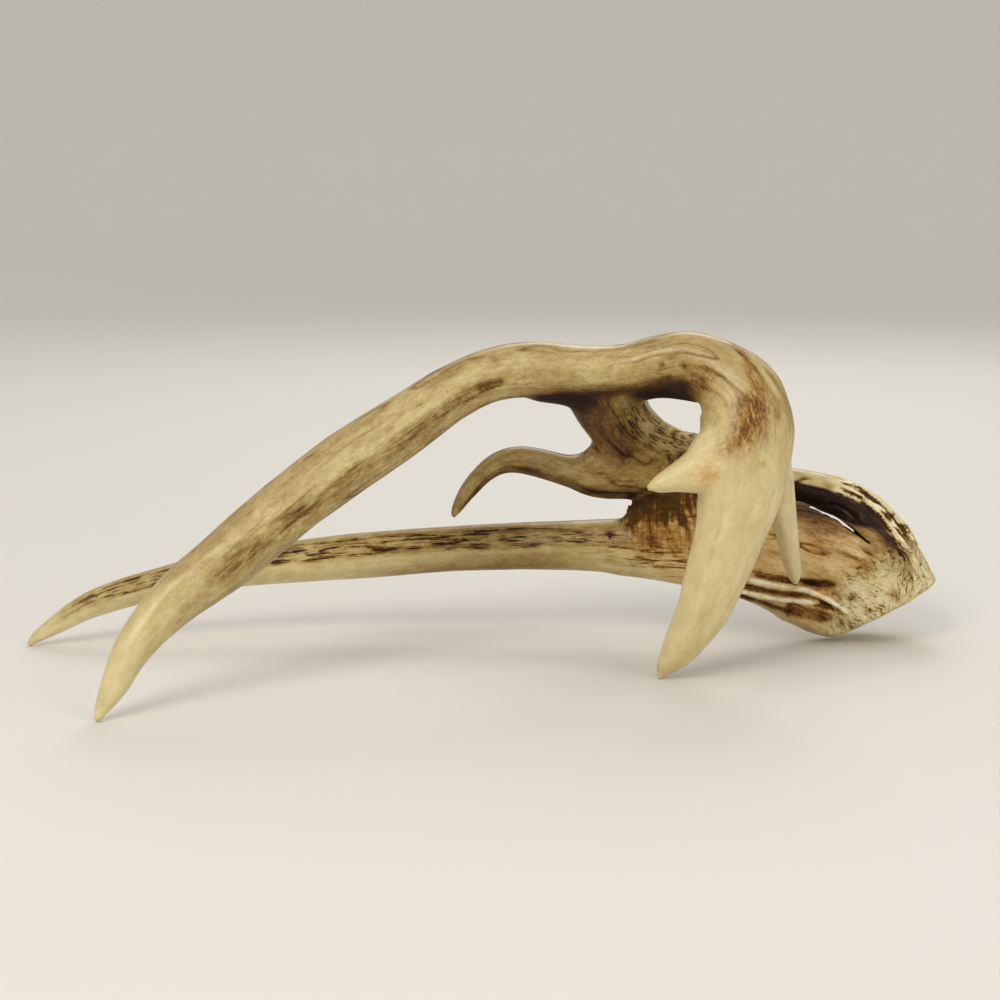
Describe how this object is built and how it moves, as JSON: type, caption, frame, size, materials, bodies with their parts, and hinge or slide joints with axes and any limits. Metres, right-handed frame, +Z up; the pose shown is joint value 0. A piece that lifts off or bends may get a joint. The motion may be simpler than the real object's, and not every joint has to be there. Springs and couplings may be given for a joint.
{
  "type": "deer antler",
  "caption": "Curved, branching deer antler with a sawn base and a beam that loops back on itself, resting on its tine tips.",
  "frame": {"origin": "middle of the footprint, on the surface that the antler rests on", "axes": "+X towards the sawn base, +Y away from the two front tines, +Z up"},
  "size_m": [0.449, 0.172, 0.1576],
  "materials": {
    "bark": "rough ridged antler surface, dark brown with cream ridges and a pale worn burr",
    "streaked_bone": "satin antler, fine dark streaks along the grain",
    "brown_bone": "satin antler, olive brown with a paler tip",
    "polished_bone": "smooth satin antler, straw coloured with brown streaks"
  },
  "bodies": {
    "root": {"main_beam": "bark", "lower_tine": "streaked_bone", "short_tine": "brown_bone", "left_tine": "polished_bone", "right_beam": "polished_bone", "front_tine": "polished_bone", "spur": "polished_bone", "inner_tine": "polished_bone"}
  },
  "joints": []
}
